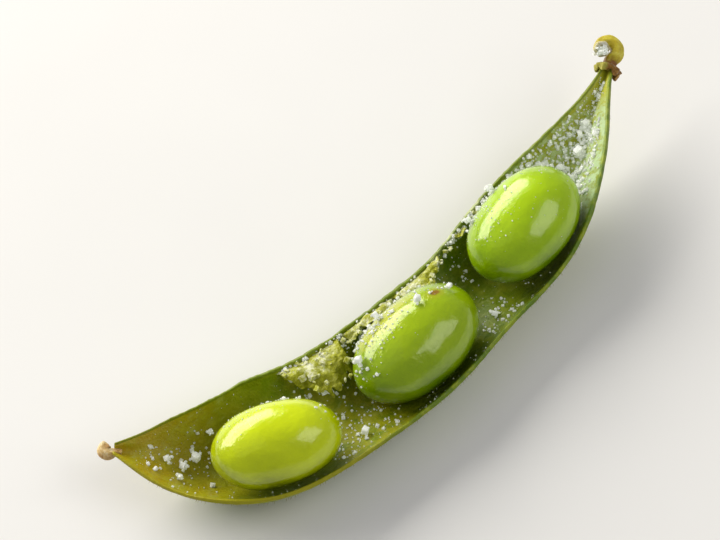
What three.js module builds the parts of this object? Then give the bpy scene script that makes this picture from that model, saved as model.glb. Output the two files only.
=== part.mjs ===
// An opened edamame pod, lying on its unbroken back valve: a boat-shaped valve that holds three beans,
// the calyx and the hooked stalk at one end, the dried style at the other, and the coarse salt grains
// that stick to it. The front valve has been torn away.
// Millimetres, +Z up. +X runs from the style tip to the stalk, and +Y is the pod's hollow side.
import * as THREE from "three";

// ---- Driving dimensions ----
const SPINE_LENGTH = 76.2; // along the pod's middle line, from style tip to stalk end
const SPINE_STEPS = 400;
const RIM_HEIGHT = 5.4; // the valve's edges above the surface it lies on
const WALL = 0.9; // thickness of the valve
const RIM_WALL = 0.55; // thickness of the valve at its edge
const SHALLOW_WALL = 0.45; // the most of the valve's depth that its wall takes up
const GAP = 0.3; // clearance between pieces that touch

// Each table is [distance along the middle line, value].
// The middle line's direction, in degrees from +X.
const HEADINGS = [
  [0, -50],
  [8, -39],
  [17, -20.5],
  [29, -4],
  [43, 5.5],
  [57, 13.5],
  [68, 22.5],
  [76.2, 27],
];
// Half of the valve's width, from edge to edge.
const HALF_WIDTHS = [
  [0, 0.7],
  [2.5, 2.2],
  [5.5, 4.1],
  [9, 5.7],
  [16, 7.5],
  [25, 7.1],
  [35.5, 6.9],
  [45, 6.2],
  [54, 6.5],
  [60.5, 5.6],
  [67, 3.6],
  [73, 1.4],
  [76.2, 0.7],
];
// The valve's depth below its edges. It bulges round each bean.
const DEPTHS = [
  [0, 0.9],
  [3.5, 2.1],
  [9, 4.4],
  [16.5, 5.8],
  [26, 4.3],
  [35.5, 5.8],
  [45, 4.2],
  [54, 5.8],
  [61.5, 4.2],
  [68, 2.6],
  [73, 1.4],
  [76.2, 0.8],
];
// Degrees of arc from the valve's keel to either edge: below 90 the walls lean outwards.
const OPENINGS = [
  [0, 58],
  [16, 77],
  [35, 80],
  [54, 77],
  [64, 58],
  [76.2, 58],
];
// How far both edges rise above RIM_HEIGHT, and how far the outer edge is folded up beyond that.
const RIM_RISES = [
  [0, 1.4],
  [7, 0.4],
  [16, 0],
  [54, 0],
  [64, 1.0],
  [76.2, 3.2],
];
const LIP_RISES = [
  [49, 0],
  [56, 0.7],
  [63, 2.2],
  [70, 1.6],
  [76.2, 0.1],
];

// at: distance along the middle line; aside: towards the hollow side; turn: degrees from the middle line.
const BEANS = [
  { name: "bean_near_tip", at: 17.1, aside: -1.8, up: 6.6, size: [14.5, 9.8, 8.9], turn: -4, tilt: -3 },
  { name: "bean_middle", at: 36.0, aside: -0.3, up: 5.95, size: [16.4, 10.8, 9.6], turn: 2, tilt: 0 },
  { name: "bean_near_stalk", at: 54.4, aside: -0.25, up: 7.2, size: [15.2, 10.8, 9.4], turn: -3, tilt: 4 },
];
const BEAN_BLUNTNESS = 0.035; // how much a bean's ends and middle are drawn in
const BEAN_HOLLOW = 0.05; // how much it is flattened on the side that it grew from

const VALVE_STEPS_LONG = 64;
const VALVE_STEPS_ACROSS = 16;

const CALYX = { inner: 1.35, wall: 0.3, length: 1.4, base: 0.4, lobe: 0.35, lobes: 5, sides: 30 };
const NECK_RISE = 0.2; // how far the neck's end points up for each unit that it points along
const STALK_RADIUS = 0.7;
// The stalk's route from the calyx: [along the neck, towards the hollow side, up].
const STALK_ROUTE = [
  [0, 0, 0],
  [0.75, -0.45, 0.15],
  [1.6, -0.1, 0.35],
  [1.85, 0.75, 0.55],
  [1.3, 1.45, 0.8],
  [0.5, 1.4, 1.2],
  [0, 0.95, 1.8],
];
const STYLE = { radius: 0.6, length: 0.5 };

// Coarse salt on the valve: across is -1 at the outer edge and 1 at the hollow side's edge.
const GRAINS_ON_VALVE = [
  { at: 63.6, across: -0.32, size: 0.75 },
  { at: 64.3, across: 0.36, size: 0.6 },
  { at: 66.6, across: -0.1, size: 0.8 },
  { at: 68.4, across: 0.32, size: 0.55 },
  { at: 69.8, across: -0.25, size: 0.6 },
  { at: 45.3, across: -0.5, size: 0.6 },
  { at: 44.9, across: 0.5, size: 0.55 },
  { at: 26.1, across: -0.5, size: 0.6 },
  { at: 25.7, across: 0.4, size: 0.7 },
  { at: 8.5, across: 0.2, size: 0.75 },
  { at: 7.1, across: -0.05, size: 0.6 },
  { at: 5.5, across: 0.1, size: 0.65 },
  { at: 6.9, across: -0.5, size: 0.5 },
  { at: 10.5, across: 0.66, size: 0.5 },
];
// Coarse salt on the beans: towards is the direction from a bean's middle, in the bean's own frame.
const GRAINS_ON_BEANS = [
  { bean: "bean_middle", towards: [0.7, 0.1, 0.7], size: 0.5 },
  { bean: "bean_middle", towards: [0.25, 0.25, 0.9], size: 0.6 },
  { bean: "bean_middle", towards: [-0.2, 0.65, 0.7], size: 0.65 },
  { bean: "bean_middle", towards: [-0.8, 0.3, 0.6], size: 0.6 },
  { bean: "bean_near_stalk", towards: [0.05, 0.8, 0.55], size: 0.55 },
  { bean: "bean_near_stalk", towards: [-0.5, 0.75, 0.5], size: 0.6 },
];
const GRAIN_SHAPE = [1, 0.82, 0.66]; // a grain's radii against its size, before it is turned
const GRAIN_TURNS = [2.4, 1.7, 0.9]; // radians that each grain is turned beyond the one before

// ---- Curves and profiles ----
const radians = THREE.MathUtils.degToRad;

// A smooth curve through [distance, value] stations, as a function of distance.
function profile(stations) {
  const slope = (i) => {
    const before = stations[Math.max(i - 1, 0)];
    const after = stations[Math.min(i + 1, stations.length - 1)];
    return (after[1] - before[1]) / (after[0] - before[0]);
  };
  return (s) => {
    if (s <= stations[0][0]) return stations[0][1];
    if (s >= stations.at(-1)[0]) return stations.at(-1)[1];
    const i = stations.findIndex((station) => station[0] > s) - 1;
    const [s0, v0] = stations[i];
    const [s1, v1] = stations[i + 1];
    const span = s1 - s0;
    const t = (s - s0) / span;
    const t2 = t * t;
    const t3 = t2 * t;
    return (
      (2 * t3 - 3 * t2 + 1) * v0 +
      (t3 - 2 * t2 + t) * span * slope(i) +
      (3 * t2 - 2 * t3) * v1 +
      (t3 - t2) * span * slope(i + 1)
    );
  };
}

const headingDegreesAt = profile(HEADINGS);
const halfWidthAt = profile(HALF_WIDTHS);
const depthAt = profile(DEPTHS);
const openingAt = profile(OPENINGS);
const rimRiseAt = profile(RIM_RISES);
const lipRiseAt = profile(LIP_RISES);
const headingAt = (s) => radians(headingDegreesAt(s));

// The middle line's points, summed from its heading.
const spinePoints = [new THREE.Vector2(0, 0)];
for (let i = 1; i <= SPINE_STEPS; i++) {
  const step = SPINE_LENGTH / SPINE_STEPS;
  const heading = headingAt((i - 0.5) * step);
  const last = spinePoints[i - 1];
  spinePoints.push(new THREE.Vector2(last.x + step * Math.cos(heading), last.y + step * Math.sin(heading)));
}

// A point at distance s along the middle line, moved aside towards the hollow side and up.
function place(s, aside, up) {
  const along = THREE.MathUtils.clamp((s / SPINE_LENGTH) * SPINE_STEPS, 0, SPINE_STEPS);
  const i = Math.min(Math.floor(along), SPINE_STEPS - 1);
  const on = spinePoints[i].clone().lerp(spinePoints[i + 1], along - i);
  const heading = headingAt(s);
  return new THREE.Vector3(on.x - Math.sin(heading) * aside, on.y + Math.cos(heading) * aside, up);
}

// ---- Sections across the valve: [aside, up] ----
// The outer skin: an arc from one edge (across -1) by the keel (0) to the other edge (1).
function valveSkin(s, across) {
  const arc = radians(openingAt(s));
  const angle = arc * across;
  const fold = THREE.MathUtils.smoothstep(-across, 0.2, 1);
  const edge = RIM_HEIGHT + rimRiseAt(s) + lipRiseAt(s) * fold;
  return [
    (halfWidthAt(s) * Math.sin(angle)) / Math.sin(arc),
    edge - (depthAt(s) * (Math.cos(angle) - Math.cos(arc))) / (1 - Math.cos(arc)),
  ];
}

// The unit normal of the skin's section, turned towards the inside of the valve's bowl.
function skinNormal(s, across) {
  const [x0, z0] = valveSkin(s, across - 0.01);
  const [x1, z1] = valveSkin(s, across + 0.01);
  const length = Math.hypot(x1 - x0, z1 - z0);
  return [-(z1 - z0) / length, (x1 - x0) / length];
}

// The inner face, one wall inside the skin. The wall thins towards the edges and the pod's ends.
function valveInner(s, across) {
  const [x, z] = valveSkin(s, across);
  const [nx, nz] = skinNormal(s, across);
  const wall = THREE.MathUtils.lerp(WALL, RIM_WALL, across ** 4);
  const thin = Math.min(wall, SHALLOW_WALL * depthAt(s));
  return [x + nx * thin, z + nz * thin];
}

// ---- Solids ----
// The valve: a closed wall between its skin and its inner face. Its bulges are flat where it rests.
function valveGeometry() {
  const positions = [];
  const ringSize = 2 * (VALVE_STEPS_ACROSS + 1);
  for (let i = 0; i <= VALVE_STEPS_LONG; i++) {
    const s = (SPINE_LENGTH * i) / VALVE_STEPS_LONG;
    for (let k = 0; k < ringSize; k++) {
      const onSkin = k <= VALVE_STEPS_ACROSS;
      const j = onSkin ? k : ringSize - 1 - k;
      const across = -1 + (2 * j) / VALVE_STEPS_ACROSS;
      const [aside, up] = (onSkin ? valveSkin : valveInner)(s, across);
      positions.push(...place(s, aside, Math.max(up, 0)).toArray());
    }
  }
  const indices = [];
  const quad = (a, b, c, d) => indices.push(a, c, b, a, d, c);
  for (let i = 0; i < VALVE_STEPS_LONG; i++) {
    for (let k = 0; k < ringSize; k++) {
      const next = (k + 1) % ringSize;
      const here = i * ringSize;
      const there = here + ringSize;
      quad(here + k, there + k, there + next, here + next);
    }
  }
  const last = VALVE_STEPS_LONG * ringSize;
  for (let k = 0; k < VALVE_STEPS_ACROSS; k++) {
    const facing = ringSize - 1 - k;
    quad(k, k + 1, facing - 1, facing);
    quad(last + k, last + facing, last + facing - 1, last + k + 1);
  }
  const geometry = new THREE.BufferGeometry();
  geometry.setAttribute("position", new THREE.Float32BufferAttribute(positions, 3));
  geometry.setIndex(indices);
  geometry.computeVertexNormals();
  return geometry;
}

// A bean's surface point in a unit direction: an ellipsoid with blunt ends, and a slight hollow on the
// side that it grew from.
function beanPoint([long, wide, thick], { x, y, z }) {
  const fullness = 1 - BEAN_BLUNTNESS * (2 * x * x - 1) ** 2;
  const hollow = 1 - BEAN_HOLLOW * Math.max(y, 0) * (1 - x * x);
  return new THREE.Vector3((x * long) / 2, (y * fullness * hollow * wide) / 2, (z * fullness * thick) / 2);
}

function makeBean({ name, at, aside, up, size, turn, tilt }, material) {
  const geometry = new THREE.IcosahedronGeometry(1, 6);
  const position = geometry.getAttribute("position");
  const direction = new THREE.Vector3();
  for (let i = 0; i < position.count; i++) {
    direction.fromBufferAttribute(position, i);
    position.setXYZ(i, ...beanPoint(size, direction).toArray());
  }
  const bean = new THREE.Mesh(geometry, material);
  bean.name = name;
  bean.position.copy(place(at, aside, up));
  bean.rotation.set(0, radians(-tilt), headingAt(at) + radians(turn), "ZYX");
  return bean;
}

// The cup of dried sepals round the neck's end, its lobes pointing towards the tip.
function makeCalyx(material) {
  const { inner, wall, length, base, lobe, lobes, sides } = CALYX;
  const waist = length / 2;
  const cup = [
    [0, length - base],
    [0.7 * inner, length - base],
    [inner - 0.1, waist],
    [inner, 0],
    [inner + wall, 0],
    [inner + wall, waist],
    [0.7 * inner + wall, length - 0.1],
    [0, length],
  ].map(([radius, y]) => new THREE.Vector2(radius, y));
  const geometry = new THREE.LatheGeometry(cup, sides);
  const position = geometry.getAttribute("position");
  for (let i = 0; i < position.count; i++) {
    const y = position.getY(i);
    const around = Math.atan2(position.getZ(i), position.getX(i));
    const towardsRim = Math.max(0, 1 - y / waist);
    position.setY(i, y + Math.cos(around * lobes) * lobe * towardsRim);
  }
  const calyx = new THREE.Mesh(geometry, material);
  calyx.name = "calyx";
  return calyx;
}

function makeStalk(route, material) {
  const section = new THREE.Shape();
  section.absarc(0, 0, STALK_RADIUS, 0, 2 * Math.PI, false);
  const geometry = new THREE.ExtrudeGeometry(section, {
    steps: 18,
    curveSegments: 6,
    extrudePath: new THREE.CatmullRomCurve3(route),
  });
  const stalk = new THREE.Mesh(geometry, material);
  stalk.name = "stalk";
  return stalk;
}

// ---- Materials ----
const skinGreen = new THREE.MeshStandardMaterial({ color: 0x6f8a1e, roughness: 0.45, metalness: 0 });
const beanGreen = new THREE.MeshStandardMaterial({ color: 0x9cc40c, roughness: 0.25, metalness: 0 });
const straw = new THREE.MeshStandardMaterial({ color: 0xb9a23a, roughness: 0.7, metalness: 0 });
const saltWhite = new THREE.MeshStandardMaterial({ color: 0xf2f0ec, roughness: 0.3, metalness: 0 });

// ---- The pod ----
const pod = new THREE.Group();

const backValve = new THREE.Mesh(valveGeometry(), skinGreen);
backValve.name = "back_valve";
pod.add(backValve);

const beans = {};
for (const bean of BEANS) {
  beans[bean.name] = makeBean(bean, beanGreen);
  pod.add(beans[bean.name]);
}

// The neck's end, and the ways along it, towards the hollow side and up.
const neckHeading = headingAt(SPINE_LENGTH);
const neckUp = RIM_HEIGHT + rimRiseAt(SPINE_LENGTH) - depthAt(SPINE_LENGTH) / 2;
const neckEnd = place(SPINE_LENGTH, 0, neckUp);
const neckWay = new THREE.Vector3(Math.cos(neckHeading), Math.sin(neckHeading), NECK_RISE).normalize();
const hollowWay = new THREE.Vector3(-Math.sin(neckHeading), Math.cos(neckHeading), 0);
const upWay = new THREE.Vector3(0, 0, 1);

const calyx = makeCalyx(straw);
calyx.quaternion.setFromUnitVectors(new THREE.Vector3(0, 1, 0), neckWay);
calyx.position.copy(neckEnd).addScaledVector(neckWay, GAP + CALYX.base - CALYX.length);
pod.add(calyx);

const stalkStart = neckEnd.clone().addScaledVector(neckWay, CALYX.base + 3 * GAP);
const stalkRoute = STALK_ROUTE.map(([along, hollow, up]) =>
  stalkStart
    .clone()
    .addScaledVector(neckWay, along)
    .addScaledVector(hollowWay, hollow)
    .addScaledVector(upWay, up),
);
pod.add(makeStalk(stalkRoute, straw));

const style = new THREE.Mesh(new THREE.CapsuleGeometry(STYLE.radius, STYLE.length, 5, 12), straw);
const tipHeading = headingAt(0);
const tipUp = RIM_HEIGHT + rimRiseAt(0) - depthAt(0) / 2;
const styleReach = STYLE.radius + STYLE.length / 2 + GAP;
style.name = "style_tip";
style.position.copy(place(0, 0, tipUp));
style.position.x -= Math.cos(tipHeading) * styleReach;
style.position.y -= Math.sin(tipHeading) * styleReach;
style.rotation.set(0, 0, tipHeading + Math.PI / 2);
pod.add(style);

// ---- Salt ----
function makeGrain(name, size, index) {
  const grain = new THREE.Mesh(new THREE.IcosahedronGeometry(size, 0), saltWhite);
  grain.name = name;
  grain.geometry.scale(...GRAIN_SHAPE);
  grain.rotation.set(...GRAIN_TURNS.map((turn) => index * turn));
  return grain;
}
GRAINS_ON_VALVE.forEach(({ at, across, size }, i) => {
  const grain = makeGrain(`salt_on_valve_${i + 1}`, size, i);
  const [x, z] = valveInner(at, across);
  const [nx, nz] = skinNormal(at, across);
  grain.position.copy(place(at, x + nx * (size + GAP), z + nz * (size + GAP)));
  pod.add(grain);
});
GRAINS_ON_BEANS.forEach(({ bean, towards, size }, i) => {
  const grain = makeGrain(`salt_on_bean_${i + 1}`, size, i);
  const direction = new THREE.Vector3(...towards).normalize();
  const { size: beanSize } = BEANS.find(({ name }) => name === bean);
  const surface = beanPoint(beanSize, direction);
  const radii = new THREE.Vector3(...beanSize);
  const outwards = surface.clone().divide(radii).divide(radii).normalize();
  surface.addScaledVector(outwards, size + GAP);
  beans[bean].updateMatrix();
  grain.position.copy(surface.applyMatrix4(beans[bean].matrix));
  pod.add(grain);
});

// ---- Frame: the origin is under the middle of the pod's box, on the surface it lies on ----
const box = new THREE.Box3().setFromObject(pod, true);
pod.position.set(-(box.min.x + box.max.x) / 2, -(box.min.y + box.max.y) / 2, -box.min.z);
const part = new THREE.Group();
part.add(pod);

export default part;
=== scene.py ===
import math
import random

import bmesh
import bpy
import numpy as np
from mathutils import Matrix, Vector, noise


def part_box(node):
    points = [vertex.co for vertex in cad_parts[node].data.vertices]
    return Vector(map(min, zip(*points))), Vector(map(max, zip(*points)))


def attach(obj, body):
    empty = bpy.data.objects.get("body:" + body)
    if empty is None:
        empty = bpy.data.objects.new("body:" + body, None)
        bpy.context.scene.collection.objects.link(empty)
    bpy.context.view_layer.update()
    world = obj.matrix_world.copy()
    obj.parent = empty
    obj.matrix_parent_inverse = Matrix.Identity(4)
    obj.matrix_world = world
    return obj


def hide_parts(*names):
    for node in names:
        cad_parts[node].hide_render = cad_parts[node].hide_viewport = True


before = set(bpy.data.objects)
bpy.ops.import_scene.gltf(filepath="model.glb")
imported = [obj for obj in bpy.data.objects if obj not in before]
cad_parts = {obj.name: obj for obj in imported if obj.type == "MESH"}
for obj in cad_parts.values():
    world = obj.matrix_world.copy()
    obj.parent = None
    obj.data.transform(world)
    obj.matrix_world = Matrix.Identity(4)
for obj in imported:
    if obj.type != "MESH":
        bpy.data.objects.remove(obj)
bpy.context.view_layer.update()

# An opened, salted edamame pod on a plain pale floor. Shapes are worked out in millimetres, in the pod's
# own layout: distance s along its middle line from the style tip, aside towards its hollow side, and up.
MM = 0.001

# ---- Driving dimensions, the same as the CAD model's ----
SPINE_LENGTH = 76.2
SPINE_STEPS = 400
RIM_HEIGHT = 5.4  # the valve's edges above the floor
WALL = 0.9
RIM_WALL = 0.55
SHALLOW_WALL = 0.45  # the most of the valve's depth that its wall takes up
GAP = 0.3  # between pieces that touch
BEAN_BLUNTNESS = 0.035
BEAN_HOLLOW = 0.05
NECK_RISE = 0.2
# Stations of [distance along, value]: the middle line's direction in degrees, the valve's half width and
# depth, half of its section's arc in degrees, its edges' rise above RIM_HEIGHT, and the further rise of
# its outer edge, which is folded up by the neck.
HEADINGS = [[0, -50], [8, -39], [17, -20.5], [29, -4], [43, 5.5], [57, 13.5], [68, 22.5], [76.2, 27]]
HALF_WIDTHS = [
    [0, 0.7], [2.5, 2.2], [5.5, 4.1], [9, 5.7], [16, 7.5], [25, 7.1], [35.5, 6.9], [45, 6.2],
    [54, 6.5], [60.5, 5.6], [67, 3.6], [73, 1.4], [76.2, 0.7],
]
DEPTHS = [
    [0, 0.9], [3.5, 2.1], [9, 4.4], [16.5, 5.8], [26, 4.3], [35.5, 5.8], [45, 4.2], [54, 5.8],
    [61.5, 4.2], [68, 2.6], [73, 1.4], [76.2, 0.8],
]
OPENINGS = [[0, 58], [16, 77], [35, 80], [54, 77], [64, 58], [76.2, 58]]
RIM_RISES = [[0, 1.4], [7, 0.4], [16, 0], [54, 0], [64, 1.0], [76.2, 3.2]]
LIP_RISES = [[49, 0], [56, 0.7], [63, 2.2], [70, 1.6], [76.2, 0.1]]
# The CAD valve's steps, which its box depends on a little.
CAD_STEPS_LONG = 64
CAD_STEPS_ACROSS = 16
# Each bean's middle, its (length, width, thickness), and its degrees from the middle line and from level.
BEANS = {
    "bean_near_tip": dict(at=17.1, aside=-1.8, up=6.6, size=(14.5, 9.8, 8.9), turn=-4, tilt=-3),
    "bean_middle": dict(at=36.0, aside=-0.3, up=5.95, size=(16.4, 10.8, 9.6), turn=2, tilt=0),
    "bean_near_stalk": dict(at=54.4, aside=-0.25, up=7.2, size=(15.2, 10.8, 9.4), turn=-3, tilt=4),
}
CALYX = dict(inner=1.35, wall=0.3, length=1.4, base=0.4, lobe_length=0.35, lobe_count=5)
# The stalk's route from the calyx: (along the neck, towards the hollow side, up).
STALK_ROUTE = [
    (0, 0, 0), (0.75, -0.45, 0.15), (1.6, -0.1, 0.35), (1.85, 0.75, 0.55),
    (1.3, 1.45, 0.8), (0.5, 1.4, 1.2), (0, 0.95, 1.8),
]
STALK_RADIUS = 0.7
STALK_ROOT = 0.9  # how far inside the calyx the stalk starts


# ---- Curves and profiles ----
def profile(stations):
    """A smooth curve through [distance, value] stations, as a function of an array of distances."""
    x, y = np.array(stations, float).T
    before = np.maximum(np.arange(len(x)) - 1, 0)
    after = np.minimum(np.arange(len(x)) + 1, len(x) - 1)
    slope = (y[after] - y[before]) / (x[after] - x[before])

    def value(s):
        s = np.clip(s, x[0], x[-1])
        i = np.clip(np.searchsorted(x, s, side="right") - 1, 0, len(x) - 2)
        span = x[i + 1] - x[i]
        t = (s - x[i]) / span
        t2, t3 = t * t, t * t * t
        ends = (2 * t3 - 3 * t2 + 1) * y[i] + (3 * t2 - 2 * t3) * y[i + 1]
        return ends + span * ((t3 - 2 * t2 + t) * slope[i] + (t3 - t2) * slope[i + 1])

    return value


heading_degrees = profile(HEADINGS)
half_width = profile(HALF_WIDTHS)
depth = profile(DEPTHS)
opening = profile(OPENINGS)
rim_rise = profile(RIM_RISES)
lip_rise = profile(LIP_RISES)


def heading(s):
    """The middle line's direction, in radians from +X."""
    return np.radians(heading_degrees(s))


def smooth(x, low, high):
    """0 below low, 1 above high and smooth in between."""
    t = np.clip((x - low) / (high - low), 0, 1)
    return t * t * (3 - 2 * t)


def spine():
    """The middle line's points, summed from its heading."""
    step = SPINE_LENGTH / SPINE_STEPS
    middles = heading((np.arange(SPINE_STEPS) + 0.5) * step)
    turns = np.stack([np.cos(middles), np.sin(middles)], 1) * step
    return np.vstack([[0, 0], np.cumsum(turns, 0)])


SPINE = spine()


def place(s, aside, up):
    """Points at distances s along the middle line, moved aside and up, from the line's own start."""
    s, aside, up = np.broadcast_arrays(np.asarray(s, float), aside, up)
    marks = np.linspace(0, SPINE_LENGTH, SPINE_STEPS + 1)
    x = np.interp(s, marks, SPINE[:, 0]) - np.sin(heading(s)) * aside
    y = np.interp(s, marks, SPINE[:, 1]) + np.cos(heading(s)) * aside
    return np.stack([x, y, up], -1)


def valve_skin(s, across):
    """The valve's outer skin, (aside, up). across is -1 at its outer edge and 1 at its hollow side's."""
    arc = np.radians(opening(s))
    angle = arc * across
    edge = RIM_HEIGHT + rim_rise(s) + lip_rise(s) * smooth(-across, 0.2, 1)
    aside = half_width(s) * np.sin(angle) / np.sin(arc)
    up = edge - depth(s) * (np.cos(angle) - np.cos(arc)) / (1 - np.cos(arc))
    return aside, up


def skin_normal(s, across):
    """The unit normal of the skin's section, turned towards the inside of the valve's bowl."""
    step = 0.01
    x0, z0 = valve_skin(s, across - step)
    x1, z1 = valve_skin(s, across + step)
    length = np.hypot(x1 - x0, z1 - z0)
    return -(z1 - z0) / length, (x1 - x0) / length


def valve_inner(s, across, rim_wall=RIM_WALL):
    """The valve's inner face, a wall's thickness in from its skin."""
    x, z = valve_skin(s, across)
    nx, nz = skin_normal(s, across)
    wall = WALL + (rim_wall - WALL) * np.clip(np.abs(across), 0, 1) ** 4
    wall = np.minimum(wall, SHALLOW_WALL * depth(s))
    return x + nx * wall, z + nz * wall


def pod_offset():
    """How far the middle line's own frame is from the row frame, from the CAD valve's box."""
    s = np.linspace(0, SPINE_LENGTH, CAD_STEPS_LONG + 1)[:, None]
    across = np.linspace(-1, 1, CAD_STEPS_ACROSS + 1)[None, :]
    points = [place(s, *section(s, across)).reshape(-1, 3) for section in (valve_skin, valve_inner)]
    lowest = np.vstack(points).min(0)
    corner = np.array(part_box("back_valve")[0]) / MM
    return np.append((corner - lowest)[:2], 0)


OFFSET = pod_offset()


def pod_point(s, aside, up):
    """The same points in the row frame."""
    return place(s, aside, up) + OFFSET


def wobble(points, size, seed):
    """Smooth noise from -1 to 1 at points in millimetres, with features of about that size."""
    shift = Vector((seed * 17.3, seed * 9.1, seed * 5.7))
    return np.array([noise.noise(Vector(p) / size + shift) for p in points])


# ---- Objects ----
def add_object(name, data):
    made = bpy.data.objects.new(name, data)
    bpy.context.scene.collection.objects.link(made)
    return made


def make_mesh(name, points, faces, material, faceted=False):
    """A mesh object from points in the row frame, in millimetres."""
    mesh = bpy.data.meshes.new(name)
    mesh.from_pydata((np.asarray(points) * MM).tolist(), [], faces)
    mesh.validate()
    mesh.polygons.foreach_set("use_smooth", [not faceted] * len(mesh.polygons))
    mesh.materials.append(material)
    return add_object(name, mesh)


def add_piece(name, points, faces, material, nodes=(), places=None, faceted=False):
    """A piece that rides on the pod and stands for the named CAD nodes. places
    is a vector for each point, or one for all, which tells the material where it is."""
    piece = make_mesh(name, points, faces, material, faceted)
    if places is not None:
        attribute = piece.data.attributes.new("place", "FLOAT_VECTOR", "POINT")
        vectors = np.broadcast_to(np.asarray(places, np.float32), (len(points), 3))
        attribute.data.foreach_set("vector", vectors.ravel())
    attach(piece, "root")
    if nodes:
        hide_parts(*nodes)


def grid_faces(rows, columns, closed=True):
    """Quads of a grid of points. With closed, its last column joins its first."""
    count = columns if closed else columns - 1
    faces = []
    for i in range(rows - 1):
        for k in range(count):
            here, right = i * columns + k, i * columns + (k + 1) % columns
            faces.append((here, right, right + columns, here + columns))
    return faces


def capped_faces(rings, sides):
    """Quads between rings of points, and a fan to each of the two end points that follow them."""
    first, last = rings * sides, rings * sides + 1
    start = first - sides
    faces = grid_faces(rings, sides)
    faces += [(first, (k + 1) % sides, k) for k in range(sides)]
    faces += [(last, start + k, start + (k + 1) % sides) for k in range(sides)]
    return faces


# ---- Shaders ----
def rgb(code):
    """A linear colour from a hex code such as "8fa90a"."""
    parts = [int(code[i : i + 2], 16) / 255 for i in (0, 2, 4)]
    linear = [c / 12.92 if c <= 0.04045 else ((c + 0.055) / 1.055) ** 2.4 for c in parts]
    return (*linear, 1.0)


class Shader:
    """A material's node tree, with a short call for each kind of node that it uses."""

    def __init__(self, name, **sockets):
        self.material = bpy.data.materials.new(name)
        self.material.use_nodes = True
        self.tree = self.material.node_tree
        self.main = self.tree.nodes["Principled BSDF"]
        self.at = self.position()
        for socket, value in sockets.items():
            self.main.inputs[socket.replace("_", " ")].default_value = value

    def node(self, kind, inputs=None, **settings):
        made = self.tree.nodes.new("ShaderNode" + kind)
        for key, value in settings.items():
            setattr(made, key, value)
        for key, value in (inputs or {}).items():
            if isinstance(value, bpy.types.NodeSocket):
                self.tree.links.new(value, made.inputs[key])
            else:
                made.inputs[key].default_value = value
        return made

    def position(self):
        """The row frame's position in millimetres."""
        coordinates = self.node("TexCoord").outputs["Object"]
        return self.node("VectorMath", {0: coordinates, 3: 1 / MM}, operation="SCALE").outputs[0]

    def place(self):
        """The vector that add_piece stored on the points, and its three numbers."""
        vector = self.node("Attribute", attribute_name="place").outputs["Vector"]
        return [vector, *self.node("SeparateXYZ", {0: vector}).outputs]

    def stretched(self, x, y, z):
        """The position with its axes scaled, for marks that are longer one way."""
        return self.node("VectorMath", {0: self.at, 1: (x, y, z)}, operation="MULTIPLY").outputs[0]

    def distance(self, vector, point):
        return self.node("VectorMath", {0: vector, 1: point}, operation="DISTANCE").outputs["Value"]

    def noise(self, scale, detail=3.0, roughness=0.55, distortion=0.0, at=None):
        inputs = dict(Scale=scale, Detail=detail, Roughness=roughness, Distortion=distortion)
        return self.node("TexNoise", dict(Vector=at or self.at, **inputs)).outputs["Fac"]

    def cells(self, scale, feature="F1", at=None):
        inputs = dict(Vector=at or self.at, Scale=scale)
        return self.node("TexVoronoi", inputs, feature=feature).outputs["Distance"]

    def math(self, operation, a, b):
        return self.node("Math", {0: a, 1: b}, operation=operation).outputs[0]

    def add(self, a, b):
        return self.math("ADD", a, b)

    def times(self, *values):
        """Two or more values multiplied together."""
        product = values[0]
        for value in values[1:]:
            product = self.math("MULTIPLY", product, value)
        return product

    def swing(self, value, size):
        """A value from 0 to 1, turned into one from -size / 2 to size / 2."""
        return self.times(self.math("SUBTRACT", value, 0.5), size)

    def between(self, value, low, high):
        """0 below low, 1 above high and smooth in between. With low above high it falls instead."""
        inputs = {"Value": value, "From Min": low, "From Max": high}
        return self.node("MapRange", inputs, interpolation_type="SMOOTHSTEP").outputs[0]

    def ramp(self, factor, stops):
        made = self.node("ValToRGB", {0: factor})
        elements = made.color_ramp.elements
        while len(elements) < len(stops):
            elements.new(1.0)
        for element, (where, code) in zip(elements, stops):
            element.position = where
            element.color = rgb(code)
        return made.outputs[0]

    def mix(self, factor, a, b):
        """Colour a where the factor is 0, and b where it is 1. Either may be a hex code."""
        a, b = (rgb(c) if isinstance(c, str) else c for c in (a, b))
        return self.node("Mix", {0: factor, 6: a, 7: b}, data_type="RGBA").outputs[2]

    def bump(self, height, distance, strength):
        """Bump of a height from 0 to 1 that stands for distance millimetres."""
        inputs = {"Height": height, "Distance": distance * MM, "Strength": strength}
        if self.main.inputs["Normal"].is_linked:
            inputs["Normal"] = self.main.inputs["Normal"].links[0].from_socket
        self.connect("Normal", self.node("Bump", inputs).outputs[0])

    def connect(self, socket, value):
        self.tree.links.new(value, self.main.inputs[socket])

    def colour(self, value):
        self.connect("Base Color", value)

    def roughness(self, value, low, high):
        """Roughness from low where a value is 0 to high where it is 1."""
        self.connect("Roughness", self.add(low, self.times(value, high - low)))


def soft(shader, weight, scale, radius=(1.0, 1.0, 0.4)):
    """Light that goes in and comes out again within about scale millimetres."""
    for socket, value in (("Weight", weight), ("Scale", scale * MM), ("Radius", radius)):
        shader.main.inputs["Subsurface " + socket].default_value = value


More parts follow.
